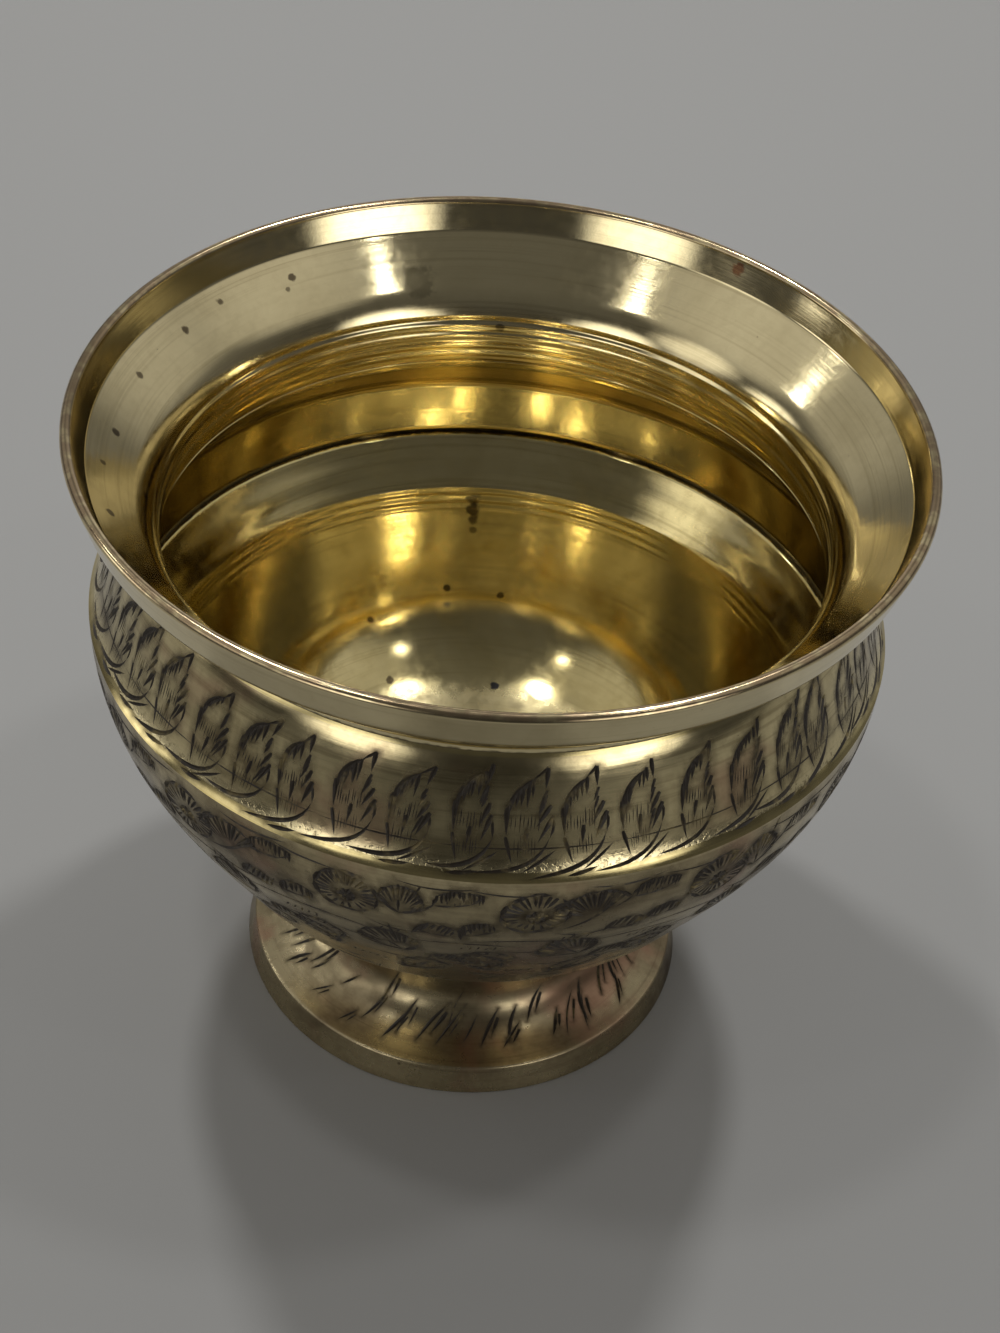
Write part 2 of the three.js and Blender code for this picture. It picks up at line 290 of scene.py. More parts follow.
def brass(name, colour, tarnish_colour, tarnished, rough, lathe=0.4, copper=0.0, rubbed=None,
          joints=(), rusty_from=None, stains=(), stretched=0.5, dull_below=None):
    """Turned brass: clouds of tarnish, smears from wiping, lathe lines, specks and pits.

    Between the two heights of rubbed it grows brighter and pitted; at the joints, each given by its
    radius and height, it darkens: dirt in the seam, and painted shade in the crease between the
    parts. Stains are an azimuth, height, radius, size, depth and colour.
    """
    material = bpy.data.materials.new(name)
    nodes = bare_nodes(material)
    place = linked(nodes, "ShaderNodeTexCoord", {}).outputs["Object"]
    axes = linked(nodes, "ShaderNodeSeparateXYZ", {0: place}).outputs
    level = linked(nodes, "ShaderNodeCombineXYZ", {0: axes[0], 1: axes[1]}).outputs[0]
    radius = linked(nodes, "ShaderNodeVectorMath", {0: level}, operation="LENGTH").outputs["Value"]
    clouds = noise(nodes, place, 34.0, 5.0, 0.6, 0.5)
    wiped = ringed(nodes, axes, radius, 2.6, 150.0, 4.0, 0.6)
    mottled = noise(nodes, place, 420.0, 4.0, 0.6, 0.3)
    grain = noise(nodes, place, 2600.0, 2.0, 0.6)
    lines = ringed(nodes, axes, radius, 0.8, 1500.0)
    bands = ringed(nodes, axes, radius, 0.9, 300.0, 2.0, 0.5)
    worn = faded(nodes, axes[2], rubbed[0] * MM, rubbed[1] * MM) if rubbed else 0.0
    cover = plus(nodes, faded(nodes, clouds, 0.4, 0.7, 0.0, 0.7 * tarnished),
                 faded(nodes, wiped, 0.42, 0.72, 0.0, 0.5 * tarnished))
    cover = times(nodes, cover, minus(nodes, 1.0, times(nodes, worn, 0.75)))
    shade = mixed(nodes, cover, colour, tarnish_colour)
    for pattern, low, high, amount in (
        (mottled, 0.4, 0.75, 0.35 * tarnished), (lines, 0.5, 0.7, 0.12 + 0.6 * lathe),
    ):
        shade = mixed(nodes, faded(nodes, pattern, low, high, 0.0, amount), shade, tarnish_colour)
    if copper:
        blush = faded(nodes, noise(nodes, place, 55.0, 3.0, 0.5, 0.3), 0.53, 0.68, 0.0, copper)
        shade = mixed(nodes, blush, shade, COPPER_BLUSH)
    soil = linked(nodes, "ShaderNodeAttribute", {}, attribute_name="soil").outputs["Fac"]
    soil = times(nodes, soil, faded(nodes, mottled, 0.3, 0.62, 0.6, 1.0))
    shade = mixed(nodes, soil, shade, PACKED_DIRT)
    specks = maths(nodes, "MAXIMUM", dots(nodes, place, 90.0, 0.00035, 0.3),
                   dots(nodes, place, 260.0, 0.0001, 0.5))
    shade = mixed(nodes, times(nodes, specks, 0.75), shade, SPECK)
    roughness = plus(nodes, rough, times(nodes, cover, 0.09))
    roughness = plus(nodes, roughness, faded(nodes, mottled, 0.35, 0.7, -0.02, 0.04))
    roughness = plus(nodes, roughness, times(nodes, soil, 0.22))
    height = times(nodes, lines, lathe)
    for pattern, amount in ((bands, 1.8 * lathe), (grain, 0.1), (mottled, 0.35), (specks, -0.6)):
        height = plus(nodes, height, times(nodes, pattern, amount))
    if rubbed:
        shade = mixed(nodes, times(nodes, worn, 0.75), shade, BRIGHT_BRASS)
        pits = faded(nodes, noise(nodes, place, 1500.0, 2.0, 0.55), 0.5, 0.66)
        pits = times(nodes, pits, worn)
        height = minus(nodes, height, times(nodes, pits, 0.9))
        shade = mixed(nodes, times(nodes, pits, 0.55), shade, tarnish_colour)
    if dull_below:
        dull = times(nodes, faded(nodes, axes[2], dull_below * MM, (dull_below - 3) * MM),
                     faded(nodes, mottled, 0.3, 0.7, 0.6, 1.0))
        shade = mixed(nodes, times(nodes, dull, 0.4), shade, DULL_GREY)
        roughness = plus(nodes, roughness, times(nodes, dull, 0.3))
    if rusty_from:
        rust = times(nodes, faded(nodes, axes[2], rusty_from * MM, (rusty_from + 0.8) * MM),
                     faded(nodes, noise(nodes, place, 260.0, 4.0), 0.35, 0.55, 0.35, 0.9))
        shade = mixed(nodes, rust, shade, RUST)
        roughness = plus(nodes, roughness, times(nodes, rust, 0.1))
    for azimuth, spot_height, spot_radius, size, depth, stain in stains:
        ends = {0: place, 1: spot_at(azimuth, spot_height, spot_radius)}
        gap = linked(nodes, "ShaderNodeVectorMath", ends, operation="DISTANCE").outputs["Value"]
        ragged = 0.35 * size * MM
        gap = plus(nodes, gap, faded(nodes, mottled, 0.25, 0.75, -ragged, ragged))
        shade = mixed(nodes, faded(nodes, gap, size * MM, 0.55 * size * MM, 0.0, depth),
                      shade, stain)
    # Painted shade at each joint: a dark band, partly dirt held in the seam and partly shade
    # painted into the crease between the parts.
    for joint_radius, joint_height in joints:
        aside = minus(nodes, radius, joint_radius * MM)
        above = minus(nodes, axes[2], joint_height * MM)
        squared = plus(nodes, times(nodes, aside, aside), times(nodes, above, above))
        gap = plus(nodes, maths(nodes, "SQRT", squared),
                   faded(nodes, mottled, 0.3, 0.7, -0.0002, 0.0002))
        shade = mixed(nodes, faded(nodes, gap, 0.0006, 0.0002, 0.0, 0.85), shade, JOINT_GRIME_AND_SHADE)
    bump = linked(nodes, "ShaderNodeBump", {"Height": height, "Distance": 0.00002, "Strength": 1.0})
    grain_way = linked(nodes, "ShaderNodeTangent", {}, direction_type="RADIAL", axis="Z").outputs[0]
    shader = linked(nodes, "ShaderNodeBsdfPrincipled", {
        "Base Color": shade, "Metallic": 1.0, "Roughness": roughness, "Normal": bump.outputs[0],
        "Anisotropic": stretched, "Anisotropic Rotation": 0.25, "Tangent": grain_way,
    })
    linked(nodes, "ShaderNodeOutputMaterial", {"Surface": shader.outputs[0]})
    return material


LIP_DEPTH = 5.5
LIP_WIDTH = 3.6
FUNNEL_SWEEP = 46
FUNNEL_WALL = 2.4
HEEL_ROUND = 2.2
BEAD_RADIUS = 0.95
THROAT_INSET = 14.9
THROAT_ROUND = 12.7
THROAT_BELOW_NECK = 5.3
RIPPLES_START = 157
NECK_WALL = 4.7
NECK_BAND = 0.5
COLLAR_SPIGOT = 10
SHOULDER_EDGE = 1.9
BRAZE_GAP = 0.3
EDGE_BREAK = 0.3
RUST_DEPTH = 1.1
collar_low, collar_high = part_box("rim_collar")
rim_radius = collar_high.x / MM
rim_height = collar_high.z / MM
spigot_height = collar_low.z / MM
neck_height = spigot_height + COLLAR_SPIGOT
throat_height = neck_height - THROAT_BELOW_NECK
throat_radius = rim_radius - THROAT_INSET
neck_radius = throat_radius + NECK_WALL
neck_bore = neck_radius - SHOULDER_EDGE
throat_centre = (throat_radius + THROAT_ROUND, throat_height)
throat_end = 180 + math.degrees(math.asin((throat_height - spigot_height) / THROAT_ROUND))
bead_centre = (rim_radius - BEAD_RADIUS, rim_height - BEAD_RADIUS)
lip_corner = (rim_radius - LIP_WIDTH, rim_height - LIP_DEPTH)
funnel_end = aimed(throat_centre, THROAT_ROUND, 180 - FUNNEL_SWEEP)
funnel_run, funnel_climb = np.subtract(lip_corner, funnel_end)
funnel_rise = math.degrees(math.atan2(funnel_climb, funnel_run))
heel = aimed(lip_corner, FUNNEL_WALL, funnel_rise - 90)
flare_foot = aimed(funnel_end, FUNNEL_WALL, funnel_rise - 90)
cove_drop = (flare_foot[0] - neck_radius) * math.tan(math.radians(funnel_rise))
cove_tip = (neck_radius, flare_foot[1] - cove_drop)
collar_outline = [
    (neck_bore - BRAZE_GAP, spigot_height),
    (neck_bore - BRAZE_GAP, neck_height),
    (neck_radius, neck_height),
    *sweep((neck_radius, neck_height + NECK_BAND), cove_tip, cove_tip,
           aimed(flare_foot, HEEL_ROUND, funnel_rise), 8),
    *sweep(towards(heel, flare_foot, HEEL_ROUND), heel, heel,
           towards(heel, (rim_radius, bead_centre[1]), HEEL_ROUND), 8),
    *arc(bead_centre, BEAD_RADIUS, 0, 180, 14),
    lip_corner,
    *arc(throat_centre, THROAT_ROUND, 180 - FUNNEL_SWEEP, RIPPLES_START, 10),
]
throat_arc = arc(throat_centre, THROAT_ROUND, RIPPLES_START, throat_end - 1, 40)
collar_outline += rippled(throat_arc, depth=0.2, pitch=2.1, steps=9)
collar_outline.append(aimed(throat_centre, THROAT_ROUND, throat_end))
collar_outline = eased(without_repeats(collar_outline), EDGE_BREAK)
collar_outline = spaced([*collar_outline, collar_outline[0]])
DARK_STAIN = (0.07, 0.045, 0.025)
COPPER_STAIN = (0.5, 0.2, 0.1)
GREEN_SMUDGE = (0.2, 0.17, 0.09)
collar_stains = [
    # azimuth, height, radius, size, depth, colour
    (145.3, 116.9, 67.5, 1.6, 0.8, COPPER_STAIN),
    (-140.5, 111.0, 63.4, 0.9, 0.85, DARK_STAIN), (-139.0, 109.8, 62.3, 0.7, 0.7, DARK_STAIN),
    (-126.5, 111.7, 64.1, 0.9, 0.8, DARK_STAIN), (-117.6, 111.1, 63.4, 0.9, 0.85, DARK_STAIN),
    (-103.8, 110.9, 63.2, 0.8, 0.8, DARK_STAIN), (-89.6, 110.2, 62.6, 0.9, 0.85, DARK_STAIN),
    (-80.9, 111.2, 63.6, 0.7, 0.7, DARK_STAIN), (-69.4, 111.1, 63.4, 0.9, 0.85, DARK_STAIN),
    (-80.8, 104.7, 57.2, 0.9, 0.8, DARK_STAIN), (-177.0, 100.4, 55.4, 0.9, 0.7, DARK_STAIN),
    (-162.5, 107.8, 60.0, 3.4, 0.4, GREEN_SMUDGE),
]
collar_brass = brass("collar brass", BRIGHT_BRASS, TARNISH, tarnished=0.4, rough=0.1, lathe=0.35,
                     joints=[(neck_radius, neck_height)], rusty_from=rim_height - RUST_DEPTH,
                     stains=collar_stains, stretched=0.1)
places, directions, faces, _ = turned(collar_outline, section_normals(collar_outline))
collar = as_piece("rim_collar_turned", places, directions, faces, [], [collar_brass])
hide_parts("rim_collar")

# Shoulder ring.
# The slope between the neck line and the ridge, with a tongue that fits inside the lower bowl.
# Turned, then cut by hand with a graver: a row of leaves on stems, their cuts black with patina.
SHOULDER_SEED = 7
LEAVES = 45
RING_STROKES = 18
RING_ABOVE_RIDGE = 4.9
RUBBED_BELOW = 4.2
RUBBED_FULLY = 1.4
DULL_BELOW = 33.0
PLANE_SCALE = 60.0
CUT_DEPTH = 0.8
CUT_STEP = 1.5
SOIL_REACH = 1.3
SOIL_THICKNESS = 2.4
SEAM_MARGIN = 0.05
TOUCHING = 1e-5
LOWER_MARGIN = 0.5
UPPER_MARGIN = 0.45
BASIN_SLOT = 2
LEAF_FOOT = 2.8


def graver_cut(path, width, shape="wedge"):
    """One stroke of the graver: its middle line, and its half width at each point of that line."""
    path = np.array(path, float)
    steps = np.concatenate([[0], np.cumsum(np.hypot(*np.diff(path, axis=0).T))])
    count = max(2, math.ceil(steps[-1] / CUT_STEP))
    t = np.linspace(0, 1, count + 1)
    line = np.stack([np.interp(t * steps[-1], steps, path[:, k]) for k in (0, 1)], 1)
    if len(path) > 2:
        for _ in range(2):
            line[1:-1] = (line[:-2] + 2 * line[1:-1] + line[2:]) / 4
    if shape == "wedge":
        half = width / 2 * np.where(t < 0.8, (t / 0.8) ** 0.8, 1 - (t - 0.8) / 0.2 * 0.35)
    else:
        half = width / 2 * np.sin(math.pi * t) ** 0.75
    return line, half


def sliver(path, width):
    """A stroke that is pointed at both its ends."""
    return graver_cut(path, width, "sliver")


def turned_by(cuts, degrees, across=0.0, up=0.0, size=1.0):
    """The same cuts, turned to the left, scaled and moved on the surface."""
    a = math.radians(degrees)
    spin = np.array([[math.cos(a), math.sin(a)], [-math.sin(a), math.cos(a)]]) * size
    return [(line @ spin + (across, up), half * size) for line, half in cuts]


def wavering(rng, amount):
    return rng.uniform(-amount, amount)


def along_path(path, t):
    """The point at a share t of the way along a path."""
    path = np.array(path, float)
    steps = np.concatenate([[0], np.cumsum(np.hypot(*np.diff(path, axis=0).T))])
    return np.array([np.interp(t * steps[-1], steps, path[:, k]) for k in (0, 1)])


def comb(rng, edge, way, long, width, count, uneven=0.15):
    """A row of wedge cuts that hang from an edge, deepest where they meet it."""
    cuts = []
    for k in range(count):
        tip = along_path(edge, (k + 0.5 + wavering(rng, 0.2)) / count)
        reach = long * (1 + wavering(rng, 2 * uneven))
        foot = tip + np.array(way) * reach + (wavering(rng, 0.15), 0)
        cuts.append(graver_cut([foot, tip], width * (1 + wavering(rng, uneven))))
    return cuts


def hatching(rng, corner, across, up, count, width=0.16):
    """Fine scratches side by side, which shade the body of a leaf."""
    cuts = []
    for k in range(count):
        start = np.array(corner) + np.array(across) * (k + 0.5) / count
        start += (wavering(rng, 0.12), wavering(rng, 0.4))
        end = start + np.array(up) * rng.uniform(0.6, 1.1)
        cuts.append(sliver([start, end], width * rng.uniform(0.7, 1.3)))
    return cuts


def leaf(rng):
    """A leaf 16 mm tall: teeth hang from its slanting top, long wedges stand on its right side."""
    w = 0.84 + wavering(rng, 0.12)
    h = 0.95 + wavering(rng, 0.04)
    top = np.array([(-2.9 * w, 10.0), (-2.0 * w, 12.1), (-0.3, 14.0), (1.6, 15.2)]) * (1, h)
    tip = np.array((2.9 + wavering(rng, 0.5), 16.7 * h))
    right = np.array([(3.3 * w, 13.4), (3.0 * w, 11.0)]) * (1, h)
    cuts = comb(rng, top, (-0.1, -1), 2.8 + wavering(rng, 0.5), 0.82, rng.randint(7, 8), 0.25)
    cuts.append(sliver(top, 1.0))
    cuts.append(graver_cut([(-2.1 * w, 0.1), (-2.6 * w, 2.2), (-3.1 * w, 4.9 * h)], 0.72))
    cuts.append(graver_cut([(-3.0 * w, 5.0 * h), (-2.9 * w, 10.3 * h)], 0.9))
    cuts.append(graver_cut([(3.0 * w, 13.2 * h), tip], 0.9))
    if rng.random() < 0.6:
        cuts.append(graver_cut([top[-1] - (0.6, 0.3), tip], 0.66))
    else:
        cuts.append(graver_cut([tip - (0.9, 3.6), tip - (0.9, 1.2)], 0.9))
    cuts += comb(rng, right, (-0.4, -1), 2.4, 0.7, rng.randint(2, 4))
    cuts.append(graver_cut([(1.6, 6.6 * h), (3.9 * w, 10.3 * h)], 0.95 + wavering(rng, 0.1)))
    cuts.append(graver_cut([(1.8, 3.7 * h), (4.3 * w, 8.3 * h)], 1.0 + wavering(rng, 0.12)))
    if rng.random() < 0.5:
        cuts.append(graver_cut([(1.2, 3.4), (2.6, 6.9)], 0.7))
    cuts.append(sliver([(4.3 * w, 8.2 * h), (4.8 * w, 6.2), (3.6, 4.2)], 0.5))
    cuts.append(graver_cut([(-0.2, 3.0), (0.2, 6.2 + wavering(rng, 0.5))], 0.85))
    cuts += hatching(rng, (-1.9, 1.3), (3.4, 0), (0.1, 3.6), rng.randint(6, 8))
    cuts += hatching(rng, (-2.4, 5.6), (4.6, 0), (0.2, 3.4), rng.randint(8, 10), 0.2)
    foot = (-7.6 + wavering(rng, 1.4), -1.1 + wavering(rng, 0.5))
    stem = [(3.6, 4.3), (3.2, 2.6), (0.9, 0.2), (-2.9, -0.9), foot]
    cuts.append(sliver(stem, 0.8 + wavering(rng, 0.12)))
    if rng.random() < 0.5:
        cuts.append(sliver([(-0.6, -1.2), (2.2, 0.3), (4.6, 2.2)], 0.55))
    if rng.random() < 0.4:
        cuts.append(sliver([(-3.2, -1.7), (-0.6, -1.6), (1.8, -1.1)], 0.7))
    return cuts


def plane_of(skin):
    """Where points of an outline lie on the unrolled surface, on which shapes keep their angles."""
    skin = np.array(skin)
    step = np.hypot(*np.diff(skin, axis=0).T)
    along = np.concatenate([[0], np.cumsum(step)])
    middle = (skin[1:, 0] + skin[:-1, 0]) / 2
    rise = np.concatenate([[0], np.cumsum(step / middle)]) * PLANE_SCALE
    return along, skin[:, 0], skin[:, 1], rise


def laid_out(cuts, azimuth, plane):
    """Cuts given in millimetres beside an azimuth and along the outline, moved onto the plane."""
    along, radius, _, rise = plane
    made = []
    for line, half in cuts:
        low, high = line[:, 1].min(), line[:, 1].max()
        if low < LOWER_MARGIN or high > along[-1] - UPPER_MARGIN:
            continue
        here = np.interp(line[:, 1], along, radius)
        x = (math.radians(azimuth) + line[:, 0] / here) * PLANE_SCALE
        y = np.interp(line[:, 1], along, rise)
        made.append((np.stack([x, y], 1), half / here * PLANE_SCALE))
    return made


def edges_of(line, half):
    """The two edges of a cut, without its pointed ends."""
    ahead = np.gradient(line, axis=0)
    side = np.stack([-ahead[:, 1], ahead[:, 0]], 1) / np.hypot(*ahead.T)[:, None]
    wide = half > half.max() * 0.05
    return line[wide] + side[wide] * half[wide, None], line[wide] - side[wide] * half[wide, None]


def depth_of_cuts(points, cuts):
    """At points of the plane: the depth of the cuts, and how much soil they hold round them."""
    depth = np.zeros(len(points))
    soil = np.zeros(len(points))
    order = np.argsort(points[:, 0])
    ordered = points[order, 0]
    for line, half in cuts:
        reach = half.max() + SOIL_REACH
        sides = (line[:, 0].min() - reach, line[:, 0].max() + reach)
        near = order[slice(*np.searchsorted(ordered, sides))]
        gap = np.abs(points[near, 1] - line[:, 1].mean())
        near = near[gap < np.ptp(line[:, 1]) / 2 + reach]
        p = points[near]
        closest = np.full(len(near), np.inf)
        for a, b, wa, wb in zip(line[:-1], line[1:], half[:-1], half[1:]):
            ahead = b - a
            t = np.clip((p - a) @ ahead / (ahead @ ahead), 0, 1)
            gap = np.hypot(*(p - a - t[:, None] * ahead).T)
            closest = np.minimum(closest, gap)
            depth[near] = np.maximum(depth[near], wa + (wb - wa) * t - gap)
        soil[near] += half.max() * np.exp(-(closest / SOIL_REACH * 2) ** 2)
    return depth, 1 - np.exp(-SOIL_THICKNESS * soil)


def engraved(name, outline, first, last, layout, materials, seam=180):
    """Turns an outline, with the cuts of a layout sunk into its stretch from first to last."""
    normals = section_normals(outline)
    skin = outline[first:last + 1]
    for end, near, far in ((first, skin[0], skin[1]), (last, skin[-2], skin[-1])):
        normals[end] = (far[1] - near[1], near[0] - far[0]) / np.array(math.dist(near, far))
    places, directions, faces, rows = turned(outline, normals, range(first, last))
    plane = plane_of(skin)
    _, radius, height, rise = plane
    cuts = []
    for azimuth, made in layout:
        cuts += laid_out(made, (azimuth - seam) % 360 + seam - 360, plane)
    left_seam, right_seam = ((seam - turn) * math.pi / 180 * PLANE_SCALE for turn in (360, 0))
    cuts = [(line, half) for line, half in cuts
            if line[:, 0].min() - half.max() > left_seam + SEAM_MARGIN
            and line[:, 0].max() + half.max() < right_seam - SEAM_MARGIN]
    x = np.linspace(left_seam, right_seam, COLUMNS + 1)
    points = [(across, up) for up in rise for across in x]
    edges = [(j + row, j + row + 1)
             for row in (0, (len(rise) - 1) * len(x)) for j in range(COLUMNS)]
    outlines = []
    for line, half in cuts:
        left, right = edges_of(line, half)
        start = len(points)
        points += [tuple(line[0]), *map(tuple, right), tuple(line[-1]), *map(tuple, left[::-1])]
        outlines.append(list(range(start, len(points))))
        spine = len(points)
        points += [tuple(point) for point in line[1:-1]]
        chain = [start, *range(spine, len(points)), start + len(right) + 1]
        edges += list(zip(chain, chain[1:]))
    met, _, cells, met_from, _, cells_from = delaunay_2d_cdt(
        [Vector(point) for point in points], edges, outlines, 0, TOUCHING)
    flat = np.array([tuple(point) for point in met])
    depth, soil = depth_of_cuts(flat, cuts)
    r = np.interp(flat[:, 1], rise, radius)
    z = np.interp(flat[:, 1], rise, height)
    out = np.interp(flat[:, 1], rise, normals[first:last + 1, 0])
    up = np.interp(flat[:, 1], rise, normals[first:last + 1, 1])
    sink = CUT_DEPTH * depth * r / PLANE_SCALE
    angle = flat[:, 0] / PLANE_SCALE
    base = len(places)
    output_of = {source: i for i, sources in enumerate(met_from) for source in sources}
    index = list(range(base, base + len(flat)))
    for row, ring in ((0, rows[first]), (len(rise) - 1, rows[last])):
        for j in range(COLUMNS + 1):
            index[output_of[row * len(x) + j]] = ring[(j + seam - 180) % COLUMNS]
    for row in range(1, len(rise) - 1):
        index[output_of[row * len(x) + COLUMNS]] = base + output_of[row * len(x)]
    spun = np.stack([np.sin(angle), -np.cos(angle)], 1)
    places += np.column_stack([(r - sink * out)[:, None] * spun, z - sink * up]).tolist()
    directions += np.column_stack([out[:, None] * spun, up]).tolist()
    soiled = np.concatenate([np.zeros(base), soil])
    cut_faces = []
    for cell, crossed_cuts in zip(cells, cells_from):
        corners = tuple(index[i] for i in cell)
        if len(set(corners)) == len(corners):
            (cut_faces if crossed_cuts else faces).append(corners)
    used = np.zeros(len(places), bool)
    for face in faces + cut_faces:
        used[list(face)] = True
    moved = np.cumsum(used) - 1
    places = [place for place, kept in zip(places, used) if kept]
    directions = [direction for direction, kept in zip(directions, used) if kept]
    faces = [tuple(int(moved[i]) for i in face) for face in faces]
    cut_faces = [tuple(int(moved[i]) for i in face) for face in cut_faces]
    piece = as_piece(name, places, directions, faces, cut_faces, materials)
    piece.data.attributes.new("soil", "FLOAT", "POINT").data.foreach_set("value", soiled[used])
    return piece


def finish_inside(piece):
    """Gives the faces that look into the bowl the basin's material."""
    count = len(piece.data.polygons)
    middle, facing = np.zeros(3 * count), np.zeros(3 * count)
    piece.data.polygons.foreach_get("center", middle)
    piece.data.polygons.foreach_get("normal", facing)
    middle, facing = middle.reshape(-1, 3), facing.reshape(-1, 3)
    inward = (middle[:, :2] * facing[:, :2]).sum(1) < 0
    above_joint = middle[:, 2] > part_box("foot")[1].z + 2 * MM
    chosen = (inward | (facing[:, 2] > 0.5)) & above_joint
    slots = np.zeros(count, np.int32)
    piece.data.polygons.foreach_get("material_index", slots)
    slots[chosen & (slots == 0)] = BASIN_SLOT
    piece.data.polygons.foreach_set("material_index", slots)


def patina(name, colour, rough):
    """The black crust that years of polishing leave in the cuts, rubbed thin in places."""
    material = bpy.data.materials.new(name)
    nodes = bare_nodes(material)
    place = linked(nodes, "ShaderNodeTexCoord", {}).outputs["Object"]
    rubbed = faded(nodes, noise(nodes, place, 300.0, 4.0), 0.5, 0.75, 0.0, 0.6)
    shade = mixed(nodes, rubbed, colour, TARNISH)
    crust = linked(nodes, "ShaderNodeBump", {
        "Height": noise(nodes, place, 4000.0, 3.0), "Distance": 0.00003, "Strength": 0.6})
    shader = linked(nodes, "ShaderNodeBsdfPrincipled", {
        "Base Color": shade, "Metallic": faded(nodes, rubbed, 0.0, 0.6, 0.15, 0.9),
        "Roughness": rough, "Normal": crust.outputs[0]})
    linked(nodes, "ShaderNodeOutputMaterial", {"Surface": shader.outputs[0]})
    return material


SHOULDER_TOP_SLOPE = 54
SHOULDER_TOP_REACH = 5.2
RIDGE_SLOPE = 45
RIDGE_REACH = 4.6
RIDGE_WALL = 3.1
RIDGE_CREASE_DROP = 0.9
UNDERCUT_SWEEP = 41.5
LEDGE_INSET = 4.5
TONGUE = 1.5
ridge_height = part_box("lower_bowl")[1].z / MM
ridge_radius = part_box("lower_bowl")[1].x / MM
ledge_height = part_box("shoulder_ring")[0].z / MM
neck_edge = (neck_radius, neck_height)
ridge = (ridge_radius, ridge_height)
tongue_top = ridge_radius - RIDGE_WALL + TONGUE
tongue_end = ridge_radius - LEDGE_INSET + TONGUE
shoulder_skin = sweep(ridge, aimed(ridge, RIDGE_REACH, 180 - RIDGE_SLOPE),
                      aimed(neck_edge, SHOULDER_TOP_REACH, -SHOULDER_TOP_SLOPE), neck_edge, 28)
shoulder_outline = [
    *shoulder_skin,
    *spaced([
        shoulder_skin[-1],
        (neck_bore, neck_height),
        (neck_bore, spigot_height),
        *arc(throat_centre, THROAT_ROUND, throat_end, 180 + UNDERCUT_SWEEP, 8)[1:],
        (ridge_radius - RIDGE_WALL, ridge_height - RIDGE_CREASE_DROP),
        (ridge_radius - LEDGE_INSET, ledge_height),
        (tongue_end, ledge_height),
        (tongue_top, ridge_height),
        shoulder_skin[0],
    ], 1.5)[1:],
]
rng = random.Random(SHOULDER_SEED)
shoulder_layout = []
for k in range(LEAVES):
    azimuth = 360 * (k + 0.5) / LEAVES - 180 + wavering(rng, 0.5)
    made = leaf(rng)
    made = turned_by(made, wavering(rng, 6), 0, LEAF_FOOT + wavering(rng, 0.35))
    shoulder_layout.append((azimuth, made))
along, _, heights, _ = plane_of(shoulder_skin)
ring_rise = float(np.interp(ridge_height + RING_ABOVE_RIDGE, heights, along))
for k in range(RING_STROKES):
    ring_stroke = [(-11.5, wavering(rng, 0.1)), (0, 0), (11.5, wavering(rng, 0.1))]
    made = turned_by([sliver(ring_stroke, 0.3)], 0, 0, ring_rise)
    shoulder_layout.append((360 * k / RING_STROKES - 170, made))
shoulder_brass = brass("shoulder brass", (0.76, 0.65, 0.37), (0.23, 0.175, 0.085), tarnished=0.85,
                       rough=0.13, lathe=0.6, copper=0.55,
                       rubbed=(ridge_height + RUBBED_BELOW, ridge_height + RUBBED_FULLY),
                       joints=[(neck_radius, neck_height)], stretched=0.3)
BLUE_BLACK_STAIN = (0.03, 0.035, 0.06)
basin_stains = [
    (-169.3, 44.4, 48.1, 0.8, 0.85, DARK_STAIN), (-169.2, 41.6, 46.3, 0.8, 0.85, DARK_STAIN),
    (178.2, 43.6, 47.6, 0.8, 0.8, DARK_STAIN), (-149.6, 41.0, 45.9, 0.8, 0.8, DARK_STAIN),
    (-150.0, 32.9, 36.5, 0.9, 0.8, DARK_STAIN), (176.4, 31.7, 34.2, 0.9, 0.9, BLUE_BLACK_STAIN),
    (-174.4, 61.0, 55.3, 1.5, 0.8, DARK_STAIN), (-174.5, 59.0, 54.6, 1.5, 0.85, DARK_STAIN),
    (-174.6, 57.0, 53.8, 1.2, 0.8, DARK_STAIN), (-174.7, 55.0, 53.0, 0.9, 0.6, DARK_STAIN),
]
basin_brass = brass("basin brass", (0.76, 0.64, 0.32), (0.38, 0.29, 0.1), tarnished=0.6, rough=0.1,
                    joints=[(ridge_radius - LEDGE_INSET, ledge_height)], stains=basin_stains,
                    dull_below=DULL_BELOW)
cut_patina = patina("patina in the cuts", (0.03, 0.022, 0.014), 0.5)
shoulder = engraved("shoulder_ring_engraved", shoulder_outline, 0, len(shoulder_skin) - 1,
                    shoulder_layout, [shoulder_brass, cut_patina, basin_brass])
finish_inside(shoulder)
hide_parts("shoulder_ring")

# Lower bowl.
# The deep bowl from the ridge down to its floor, turned, with a socket for the ring's tongue.
# Hand-cut daisies, combed leaves, buds and stems crowd its outside; its inside is polished.
BELLY_SEED = 21
BELLY_UNITS = 14
FIRST_DAISY = -15
BELLY_SEAM = 186
LOW_MOTIFS_BELOW = 73
LOW_MOTIF_SIZE = 1.22
CUT_WIDENING = 1.3
NICKS = 16


def contour(rng, path, width, pieces):
    """A line of the graver made in several strokes, which meet unevenly."""
    cuts = []
    for k in range(pieces):
        shares = [min(max((k + s * 1.08 - 0.04) / pieces, 0), 1) for s in (0, 0.5, 1)]
        spots = [along_path(path, share) + (wavering(rng, 0.12), wavering(rng, 0.12))
                 for share in shares]
        cuts.append(sliver(spots, width * (1 + wavering(rng, 0.25))))
    return cuts


def round_the(centre, radius, start, end):
    return np.array(arc(centre, radius, start, end, 14))


